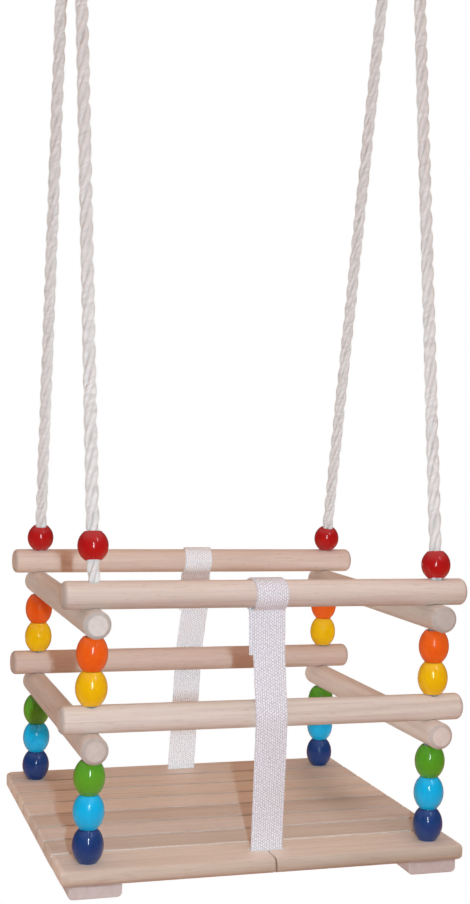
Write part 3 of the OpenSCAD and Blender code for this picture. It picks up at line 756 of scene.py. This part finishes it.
WOOD_X, WOOD_Y = wood("beech_crosswise", False), wood("beech_lengthwise", True)
PAINT = {
    "blue": lacquer("dark_blue_lacquer", (18, 55, 112), (26, 64, 122)),
    "cyan": lacquer("light_blue_lacquer", (0, 180, 230), (0, 188, 236)),
    "green": lacquer("green_lacquer", (82, 158, 32), (96, 168, 40)),
    "yellow": lacquer("yellow_lacquer", (248, 188, 0), (254, 198, 0)),
    "orange": lacquer("orange_lacquer", (244, 92, 16), (250, 104, 20)),
    "red": lacquer("red_lacquer", (182, 12, 16), (192, 18, 20)),
}
ROPE_CLOTH = textile("rope_strands", FIBRES, "strand", linear(190, 187, 178),
                     linear(255, 253, 246), 0.5, 0.9, 0.0008)
WEBBING = textile("white_webbing", WEAVE, "weave", linear(208, 201, 202),
                  linear(255, 254, 253), 0.7, 0.8, 0.0005)
ZINC = metal("zinc_plate", (176, 180, 184), (196, 199, 202), 0.5, 0.34)
SCREW_STEEL = metal("screw_steel", (186, 186, 190), (206, 206, 208), 0.6, 0.28)
ALUMINIUM = metal("pressed_aluminium", (204, 205, 207), (220, 221, 222), 0.5, 0.38)
NYLON = metal("grey_nylon", (48, 50, 54), (58, 60, 63), 0.0, 0.42)


# ---- ropes, before everything else ----
for side, name in ((-1, "left_rope"), (1, "right_rope")):
    rope, route, rope_length = make_rope(side, name + "_strands")
    # the rope inside the bead stacks is painted darker: painted shade in the small gaps between beads
    settle(rope, name, ROPE_CLOTH, lambda p: 1 - 0.6 * smooth((STACK_Z - 1 - p[:, 2:]) / 2))


# ---- seat ----
def rope_holes(z0, z1, sides, ends):
    return joined(
        rod(sx * ROPE_X, sy * ROPE_Y, z0, z1, ROPE_HOLE_R) for sx in sides for sy in ends)


def strap_slot(y, edge_y):
    """A slot with round ends and the saw cut from it out through the edge."""
    def cutter(half, y0, y1, corner, past):
        return slab(SLOT_X - half, y0, SLOT_X + half, y1, BATTEN_Z - past, SEAT_Z + past,
                    corner, 0.02, flat=0.01)

    r = SLOT_W / 2
    near, far = sorted((y, edge_y + math.copysign(3, edge_y)))
    return cutter(SLOT_L / 2, y - r, y + r, r - 0.01, 2), cutter(KERF / 2, near, far, 0.05, 2.5)


def edge_shade(edge_y, reach, above, below, right=0.0):
    """A tone that goes from above, on a slat's top, to below, on its front edge: painted shade where
    that edge lies in a gap. The front slat gets a paler top and a darker nose, which grows darker by
    right towards the right end: painted shade of light that falls off to the right. Within the
    painted shadows it is lower."""
    def tone(points):
        x, y = points[:, :1], points[:, 1:2]
        edge = smooth((edge_y + reach - y) / reach)
        painted_shadow = sum(depth * np.exp(-((x - at_x) / wide) ** 2 - ((y - at_y) / long) ** 2)
                    for at_x, at_y, wide, long, depth in PAINTED_SHADOWS)
        lower = above - np.array(below) + right * smooth((x - CHANGE_X) / CHANGE_OVER)
        return (above - lower * edge) * (1 - painted_shadow)
    return tone


def cut_across(mesh, xs):
    """Divides the faces at each x, so that a tone and the painted shadows can change along the piece.
    """
    def divide(work):
        for x in xs:
            bmesh.ops.bisect_plane(work, geom=work.verts[:] + work.edges[:] + work.faces[:],
                                   plane_co=(x * MM, 0, 0), plane_no=RIGHT)
    edit(mesh, divide)


def make_slat(name, y0, y1, corners, rims, tone_and_shade, holes=(), slot=()):
    plate = slab(-SEAT_HALF, y0, SEAT_HALF, y1, BATTEN_Z, SEAT_Z, corners, rims)
    piece = make_object(name + "_board", plate)
    cut_across(piece.data, np.arange(-55, 160, 12))
    if holes:
        cut(piece, rope_holes(BATTEN_Z - 1, SEAT_Z + 1, (-1, 1), holes))
    for part in slot:
        cut(piece, part)
    settle(piece, name, WOOD_X, tone_and_shade)


SLAT_YS = [(SEAT_FRONT, FRONT_SLAT_Y)]
for number in range(SLATS):
    start = FRONT_SLAT_Y + SLAT_GAP + number * SLAT_PITCH
    SLAT_YS.append((start, start + SLAT_PITCH - SLAT_GAP))
SLAT_YS.append((REAR_SLAT_Y, SEAT_REAR))
SCREW_YS = [(y0 + y1) / 2 for y0, y1 in SLAT_YS]

make_slat("front_slat", *SLAT_YS[0], [8, 8, 3, 3], [3.2, 5.4, 3.2, 1.8],
          edge_shade(SEAT_FRONT, 7.5, 1.22, (0.85, 0.8, 0.73), 0.18), holes=(-1,),
          slot=strap_slot(FRONT_SLOT_Y, SEAT_FRONT))
for number, (y0, y1) in enumerate(SLAT_YS[1:-1]):
    # the edge in a gap is in shade, least so behind the front slat
    shaded = 0.66 - 0.04 * number if number else 0.88
    make_slat(f"slat_{number + 1}", y0, y1, 2.6, [2.2, 1.8, 2.2, 1.8],
              edge_shade(y0, 2.0, 1.02, shaded))
make_slat("rear_slat", *SLAT_YS[-1], [3, 3, 8, 8], [2.2, 1.8, 2.2, 2.4],
          edge_shade(REAR_SLAT_Y, 2.0, 1.0, 0.45), holes=(1,), slot=strap_slot(REAR_SLOT_Y, SEAT_REAR))


def make_batten(name, side):
    x0, x1 = sorted((side * BATTEN_IN, side * BATTEN_OUT))
    block = slab(x0, UNDER_Z, x1, BATTEN_Z, BATTEN_FRONT, BATTEN_REAR, [4, 4, 1, 1], 0.9)
    recesses = joined(
        rod(side * ROPE_X, sy * ROPE_Y, UNDER_Z - 1, UNDER_Z + STOP_RECESS_H, STOP_RECESS_R)
        for sy in (-1, 1))
    holes = rope_holes(UNDER_Z - 1, BATTEN_Z + 1, (side,), (-1, 1))
    cone = SCREW_HEAD_R + 0.12
    sink = turned([(UNDER_Z - 0.5, cone + 0.5), (UNDER_Z + cone - 1.5, 1.5)], 32)
    sinks = joined(moved(sink, side * SCREW_X, y, 0) for y in SCREW_YS)
    build(name, "block", swapped(block, [0, 2, 1]), WOOD_Y, (recesses, holes, sinks))


for side, place in SIDE_NAMES.items():
    make_batten(place + "_batten", side)


def make_screws():
    """Countersunk screws. The head is a cone with a cross recess, and the shank carries a
    ridge every 1.6 mm."""
    neck = SCREW_HEAD_R - SCREW_R
    depth = BATTEN_T + SCREW_BITE
    z = np.arange(neck + 1.5, depth - 3, 0.8)
    ridge = np.where(np.arange(len(z)) % 2, SCREW_R, SCREW_R - 0.45)
    screw = turned([
        (0, SCREW_HEAD_R - 0.5), (0, SCREW_HEAD_R - 0.15), (0.15, SCREW_HEAD_R),
        (neck + 0.1, SCREW_R - 0.2), *zip(z, ridge), (depth, 0.25)], 28)
    arm, reach = 0.55, 2.1
    quarter = np.array([[arm, -reach], [arm, -arm], [reach, -arm]])
    next_one = quarter[:, ::-1] * [-1, 1]
    cross = np.concatenate([quarter, next_one, -quarter, -next_one])
    recess, faces = skin(np.array([
        np.column_stack([cross * wide, np.full(len(cross), h)])
        for wide, h in ((1.1, -0.5), (1.0, 0.0), (0.45, 1.9))]))
    heads, crosses = [], []
    for side in (-1, 1):
        for y in SCREW_YS:
            place = (side * SCREW_X, y, UNDER_Z + 0.05)
            heads.append(moved(screw, *place))
            a = rng.uniform(0, np.pi)
            spin = np.array([[np.cos(a), np.sin(a), 0], [-np.sin(a), np.cos(a), 0], [0, 0, 1]])
            crosses.append(moved((recess @ spin, faces), *place))
    build("seat_screws", "set", joined(heads), SCREW_STEEL, [joined(crosses)])


make_screws()


def pressed_side(length, outer, rim, bevel, marks, depth, width, steps):
    """Rows (height, radius) of a pressed sleeve's outside. Both ends are rounded, and near each
    height z0 in marks it is drawn in by depth exp(-((z - z0) / width)^2)."""
    z = np.linspace(rim, length - rim, steps)
    r = outer - sum(depth * np.exp(-((z - z0) / width) ** 2) for z0 in marks)
    return [(0, outer - rim), (bevel, outer - bevel), *zip(z, r),
            (length - bevel, outer - bevel), (length, outer - rim)]


def make_stops():
    """Sleeves pressed on the ropes' lower ends."""
    side_rows = pressed_side(STOP_H, STOP_R, rim=0.6, bevel=0.18, marks=(2.6, 5.4), depth=0.7,
                             width=0.8, steps=30)
    stop = turned([(0, SLEEVE_BORE_R), *side_rows, (STOP_H, SLEEVE_BORE_R)], 48, closed=True)
    tubes = joined(moved(stop, sx * ROPE_X, sy * ROPE_Y, STOP_TOP - STOP_H)
                   for sx in (-1, 1) for sy in (-1, 1))
    build("rope_stops", "set", tubes, ALUMINIUM)


make_stops()


# ---- rails ----
# Slow waves of a turned rail: size, number of lobes round it, and length along it
RAIL_WAVES = (0.0016, 1, 60.0), (0.0014, 2, 85.0), (0.001, 3, 41.0), (0.0008, 0, 23.0)


def make_rail(name, length, centre, axis, sides, ends):
    waves = [(*wave_form, rng.uniform(0, 6.28)) for wave_form in RAIL_WAVES]
    reach = RAIL_R + 3
    holes = rope_holes(centre[2] - reach, centre[2] + reach, sides, ends)

    def tone_and_shade(points):
        """The rounded shoulder of an end is painted darker than the flat disc in it: painted shade
        where it turns away from the light. One rail's upper side is painted paler than its lower
        one: painted light from above."""
        upper = 1 + PAINTED_TOP_LIGHT.get(name, 0.0) * (points[:, 2] - centre[2]) / RAIL_R
        along = (points - centre) @ axis
        away = np.linalg.norm(points - centre - along[:, None] * axis, axis=1)
        at_end = smooth((np.abs(along) - length / 2 + RAIL_ROUND_L) / 3)
        shoulder = smooth((away - RAIL_DISC_R + 0.1) / 0.8)
        end = at_end * (SHOULDER_SHADE * shoulder + DISC_TONE.get(name, 0.0) * (1 - shoulder))
        return (upper * (1 - end))[:, None]

    build(name, "dowel", turned_to(dowel(length, waves), centre, axis),
          WOOD_X if axis[0] else WOOD_Y, [holes], 24, tone_and_shade)


for place, side in (("front", -1), ("rear", 1)):
    for level, z in (("upper", UPPER_LONG_Z), ("lower", LOWER_LONG_Z)):
        make_rail(f"{level}_{place}_rail", LONG_RAIL, (0, side * ROPE_Y, z), RIGHT, (-1, 1), (side,))
for side, place in SIDE_NAMES.items():
    for level, z in (("upper", UPPER_SHORT_Z), ("lower", LOWER_SHORT_Z)):
        make_rail(f"{level}_{place}_rail", SHORT_RAIL, (side * ROPE_X, 0, z),
                  np.array([0, 1.0, 0]), (side,), (-1, 1))


# ---- beads ----
def barrel(r, h, face_r, bore_r):
    """Profile of a drilled bead: the side is an ellipse that the flat ends cut off, its rims
    are rounded, and the bore has a small lead-in."""
    c = h / 2 / math.sqrt(1 - (face_r / r) ** 2)
    rim, lead, last = 0.5, 0.5, math.radians(70)
    z = np.linspace(-1, 1, 31) * (h / 2 - rim)
    side = np.column_stack([h / 2 + z, r * np.sqrt(1 - (z / c) ** 2)])
    a = np.linspace(0, last, 5)
    top = np.column_stack([side[-1, 0] + rim * np.sin(a) / math.sin(last),
                           side[-1, 1] - 1.1 * rim * (1 - np.cos(a))])
    bottom = np.column_stack([h - top[:, 0], top[:, 1]])[::-1]
    face_edge = top[-1, 1] - 0.5
    return np.concatenate([
        [[lead, bore_r], [0, bore_r + lead], [0, face_edge]], bottom, side[1:-1], top,
        [[h, face_edge], [h, bore_r + lead], [h - lead, bore_r]]])


def make_bead(corner, colour, profile, origin, axis):
    part = turned_to(turned(profile, 56, closed=True), origin, axis)
    build(f"{corner}_{colour}_bead", "turned", part, PAINT[colour], sharp=40)


for corner_y, sy in (("front", -1), ("rear", 1)):
    for sx, corner_x in SIDE_NAMES.items():
        corner = f"{corner_y}_{corner_x}"
        levels = [SEAT_Z + n * BEAD_PITCH for n in range(3)] + [
            LOWER_LONG_Z + RAIL_R + n * BEAD_PITCH for n in range(2)]
        for colour, z in zip(("blue", "cyan", "green", "yellow", "orange"), levels):
            make_bead(corner, colour,
                      barrel(BEAD_R - rng.uniform(0, 0.15), BEAD_H, BEAD_FACE_R, BORE_R),
                      (sx * ROPE_X, sy * ROPE_Y, z + BEAD_GAP / 2), (0, 0, 1))
        lean = LEAN * [sx, -sy, 1]
        up = BEAD_GAP + (RAISED_BEAD if corner == "front_left" else 0)
        foot = np.array([sx * ROPE_X, sy * ROPE_Y, STACK_Z]) + up * lean
        make_bead(corner, "red", barrel(TOP_BEAD_R, TOP_BEAD_H, TOP_FACE_R, TOP_BORE_R), foot,
                  lean)


# ---- strap ----
for name, side, slot_y, loop_x in (
        ("front_strap", -1, FRONT_SLOT_Y, FRONT_LOOP_X), ("rear_strap", 1, REAR_SLOT_Y, REAR_LOOP_X)):
    line, s = strap_line(side, slot_y, loop_x)
    free = between(line[:, 2], LOWER_LONG_Z + 14, UPPER_LONG_Z - 52, 14, 15)
    free += between(line[:, 2], SEAT_Z + 6, LOWER_LONG_Z - 14, 20, 14)
    settle(make_strap(name + "_webbing", line, s, free * 0.5), name, WEBBING)
run = np.array([[SLOT_X, FRONT_SLOT_Y + STRAP_BEND_R, STRAP_RUN_Z],
                [SLOT_X, REAR_SLOT_Y - STRAP_BEND_R, STRAP_RUN_Z]])
line, s = resampled(run, 2.0)
settle(make_strap("under_seat_webbing", line, s, 0 * s), "under_seat_strap", WEBBING)


# ---- ceiling brackets ----
def hex_rings(rows):
    """Rings of a hexagon whose corners are cut to a circle, from rows of the height and how
    much wider than the flats the circle is. At angle a the hexagon's side is BOLT_FLAT / cos(b)
    away, where b is the angle from the middle of that side."""
    a = round_turn(96)
    side = BOLT_FLAT / np.cos((a + np.pi / 6) % (np.pi / 3) - np.pi / 6)
    z, wider = np.array(rows).T[:, :, None]
    return round_z(np.minimum(side, BOLT_FLAT + wider), a, z)


def make_bracket(side):
    """A plate with two ears, and weld seams where they meet it: rows of small ripples."""
    name, x = f"{SIDE_NAMES[side]}_bracket", side * BRACKET_X
    base = make_object(name + "_steel", slab(
        x - PLATE_HALF_X, -PLATE_HALF_Y, x + PLATE_HALF_X, PLATE_HALF_Y, -PLATE_T, 0, 8, 0.7))
    ears, seams = [], []
    weld_r, ripple, pace = 1.1, 0.18, 1.9
    t, a = np.linspace(1 - EAR_R, EAR_R - 1, 160)[:, None], round_turn(12)
    r = weld_r + ripple * np.abs(np.sin(pace * t))
    for s in (-1, 1):
        inner, outer = sorted((s * EAR_IN, s * EAR_OUT))
        ear = slab(-EAR_R, BOLT_Z - EAR_R, EAR_R, -2, x + inner, x + outer,
                   [EAR_R - 0.01, EAR_R - 0.01, 1, 1], 0.7, 16)
        ears.append(swapped(ear, [2, 0, 1]))
        seams += [skin(np.stack([
            x + s * face + r * np.cos(a), t + 0 * a, -PLATE_T - 0.1 + 0.9 * r * np.sin(a)], -1))
            for face in (EAR_IN, EAR_OUT)]
    ear_piece = make_object("ears", joined(ears))
    bore = turned([(-40, BOLT_R + 0.2), (40, BOLT_R + 0.2)], 48)
    cut(ear_piece, turned_to(bore, (x, 0, BOLT_Z), RIGHT))
    cut(base, joined(
        rod(x, sy * CEILING_HOLE_Y, -PLATE_T - 2, 2, CEILING_HOLE_R) for sy in (-1, 1)))
    pieces = [base, ear_piece, make_object("seams", joined(seams), 50)]
    with bpy.context.temp_override(active_object=base, selected_editable_objects=pieces):
        bpy.ops.object.join()
    settle(base, name, ZINC)


def make_fastening(side):
    """Bolt with its head on the outer side, threaded tip and nut on the inner side, and the
    grooved bushing between the ears."""
    full = BOLT_FLAT / math.cos(math.pi / 6) - BOLT_FLAT
    head_h, nut_h, grip, thread, pitch = 6.5, 8.0, EAR_OUT, 12.0, 1.5
    head = skin(hex_rings([
        (0, -0.9), (0, -0.4), (0.5, full), (head_h - 1.3, full), (head_h - 0.35, 0.1),
        (head_h, -0.5), (head_h, -1.4)]))
    z = np.arange(0, thread, pitch / 4)
    ridge = BOLT_R - 0.55 * np.abs(((z / pitch) % 1) * 2 - 1)
    tip = grip + nut_h + 3
    shank = [(-tip, BOLT_R - 1.3), (-tip + 0.6, BOLT_R - 0.5), *zip(z - tip + 0.8, ridge),
             (-tip + thread + 1.2, BOLT_R), (grip + 1, BOLT_R)]
    bolt = joined([moved(head, 0, 0, grip), turned(shank, 48)])
    outside = hex_rings([(0, -1.6), (0, -0.4), (0.9, full), (nut_h - 0.9, full), (nut_h, -0.4),
                         (nut_h, -1.6)])
    inside = [round_z(r, round_turn(96), h)
              for h, r in ((nut_h, BOLT_R + 0.7), (nut_h - 0.6, BOLT_R + 0.05),
                           (0.6, BOLT_R + 0.05), (0, BOLT_R + 0.7))]
    nut = moved(skin(np.concatenate([outside, inside]), closed=True), 0, 0, -grip - nut_h)
    rise = [(BUSHING_HALF, BUSHING_R - 0.8), (9.2, BUSHING_R), (7.6, BUSHING_R),
            (6.8, BUSHING_R - 0.4), (4, 15.0), (3.2, 14.4)]
    ends = [(BUSHING_HALF, BOLT_R + 0.08), *rise]
    bushing = turned([(-h, r) for h, r in ends] + ends[::-1], 72, closed=True)
    for kind, stuff, part, way, material, sharp in (
            ("bolt", "steel", bolt, side, ZINC, 25), ("nut", "steel", nut, side, ZINC, 25),
            ("bushing", "nylon", bushing, 1, NYLON, 30)):
        part = turned_to(part, (side * BRACKET_X, 0, BOLT_Z), (way, 0, 0))
        build(f"{SIDE_NAMES[side]}_{kind}", stuff, part, material, sharp=sharp)


def make_ferrule(side):
    """A pressed sleeve round both legs of a rope. At angle a of a half circle a point is
    (x + r cos a, y0 + r sin a), with y0 plus or minus the legs' distance from the middle."""
    a = np.concatenate([np.linspace(0, np.pi, 25), np.linspace(np.pi, 2 * np.pi, 25)])
    y0 = np.repeat([LEG_Y, -LEG_Y], 25)
    outer, inner, rim = ROPE_R + 0.1 + FERRULE_WALL, SLEEVE_BORE_R, 0.8
    side_rows = pressed_side(FERRULE_L, outer, rim, bevel=0.25, marks=(6.0, 14.0, 22.0),
                             depth=0.8, width=1.9, steps=60)
    h, r = np.array([(0, inner + 0.3), *side_rows, (FERRULE_L, inner + 0.3),
                     (FERRULE_L - rim, inner), (rim, inner)]).T[:, :, None]
    rings = round_z(r, a, h) + np.stack([0 * y0, y0, 0 * y0], -1)
    part = moved(skin(rings, closed=True), side * BRACKET_X, 0, FERRULE_TOP - FERRULE_L)
    build(f"{SIDE_NAMES[side]}_ferrule", "sleeve", part, ALUMINIUM, sharp=40)


for side in SIDE_NAMES:
    make_bracket(side)
    make_fastening(side)
    make_ferrule(side)

# ---- floor, light and surroundings ----
ROOM_CEILING, ROOM_WALL = (0.565, 0.365, 0.28, 1), (0.41, 0.12, 0.04, 1)
GLEAM_CEILING, GLEAM_WALL = (0.7, 0.68, 0.66, 1), (0.09, 0.08, 0.075, 1)


def the_node(tree, kind):
    return next(n for n in tree.nodes if n.type == kind)


def white_to_camera(tree, other, kind):
    """A shader that is plain white to the camera and other to everything else."""
    seen = add(tree, "LightPath").outputs["Is Camera Ray"]
    white = add(tree, kind, {"Color": (1, 1, 1, 1), "Strength": 1.0}).outputs[0]
    return add(tree, "MixShader", {0: seen, 1: other, 2: white}).outputs[0]


def make_floor():
    size = 12000.0
    floor = make_object("studio_floor", slab(
        -size, -size, size, size, FLOOR_Z - 40, FLOOR_Z, 50, 10))
    made, tree, _ = new_material("pale_floor", Roughness=0.9, Base_Color=(0.55, 0.27, 0.16, 1))
    body = the_node(tree, "BSDF_PRINCIPLED").outputs[0]
    tree.links.new(white_to_camera(tree, body, "Emission"),
                   the_node(tree, "OUTPUT_MATERIAL").inputs[0])
    floor.data.materials.append(made)


def make_light(name, place, look_at, energy, colour, size, falloff=None):
    """A soft box. size is its width and height in metres."""
    data = bpy.data.lights.new(name, "AREA")
    data.energy, data.color, data.shape = energy, colour, "RECTANGLE"
    data.size, data.size_y = size
    if falloff:
        data.use_nodes = True
        tree = data.node_tree
        weaker = add(tree, "LightFalloff", {"Strength": 1.0})
        tree.links.new(weaker.outputs[falloff], the_node(tree, "EMISSION").inputs["Strength"])
    lamp = linked(name, data)
    lamp.location = place
    lamp.rotation_mode = "QUATERNION"
    lamp.rotation_quaternion = (Vector(look_at) - Vector(place)).to_track_quat("-Z", "Y")
    lamp.visible_camera = False
    return lamp


def make_surroundings():
    """To everything it lights, a room whose ceiling is pale and warm, whose walls are dim and
    brown, and whose mirror image is dark but for the ceiling."""
    world = bpy.data.worlds.new("studio")
    world.use_nodes = True
    tree = world.node_tree
    tree.nodes.clear()
    glossy = add(tree, "LightPath").outputs["Is Glossy Ray"]
    toward = add(tree, "TexCoord").outputs["Generated"]
    height = add(tree, "SeparateXYZ", {"Vector": toward}).outputs["Z"]
    room = mixed(tree, ranged(tree, height, -0.25, 0.55), ROOM_WALL, ROOM_CEILING)
    gleam = mixed(tree, ranged(tree, height, 0.35, 0.95), GLEAM_WALL, GLEAM_CEILING)
    ambient, mirror = (add(tree, "Background", {"Color": colour, "Strength": 1.0}).outputs[0]
                       for colour in (room, gleam))
    lit = add(tree, "MixShader", {0: glossy, 1: ambient, 2: mirror}).outputs[0]
    add(tree, "OutputWorld", {0: white_to_camera(tree, lit, "Background")})
    bpy.context.scene.world = world


make_floor()
make_surroundings()
AIM, FLASH_X, FLASH_Y = (0.0, 0.0, -0.98), -0.233, -1.05
COOL, COOLER = (0.60, 0.85, 1.04), (0.53, 0.87, 1.0)
flash = make_light("flash", (FLASH_X, FLASH_Y, -0.755), AIM, 6.8, COOL, (0.012, 0.06), "Linear")
over_flash = make_light("over_flash", (FLASH_X, FLASH_Y, -0.3), AIM, 0.7, COOL, (0.02, 0.3))
gleam_box = make_light("gleam_box", (FLASH_X, FLASH_Y, -0.66), AIM, 4.0, (0.85, 0.95, 1), (0.05, 0.5))
gleam_box.visible_diffuse = False
make_light("high_box", (0.5, -1.15, 0.3), AIM, 1.6, (0.8, 0.9, 1.0), (0.08, 0.6))
# soft boxes for the sides that the photographer's flash doesn't reach. They stand lower than the
# seat, so they leave its top as it is
boxes = [make_light(name, (x, y, -1.3), (0, 0, -1.0), watts, COOLER, (1.2, 0.4))
         for name, x, y, watts in (("left_box", -1.5, 0.45, 7.0), ("right_box", 1.5, 0.45, 13.0),
                                   ("rear_box", 0.25, 1.6, 15.0))]
# and two long ones beside the ropes that face up, for the part of the ropes above the picture
boxes += [make_light(name, (x, 0, -0.42), (0.92 * x, 0, 1), 3.2, COOLER, (1.4, 0.15))
          for name, x in (("upper_left_box", -0.6), ("upper_right_box", 0.6))]
for lamp in (flash, over_flash, *boxes):
    lamp.visible_glossy = False
bpy.context.scene.view_settings.view_transform = "Standard"
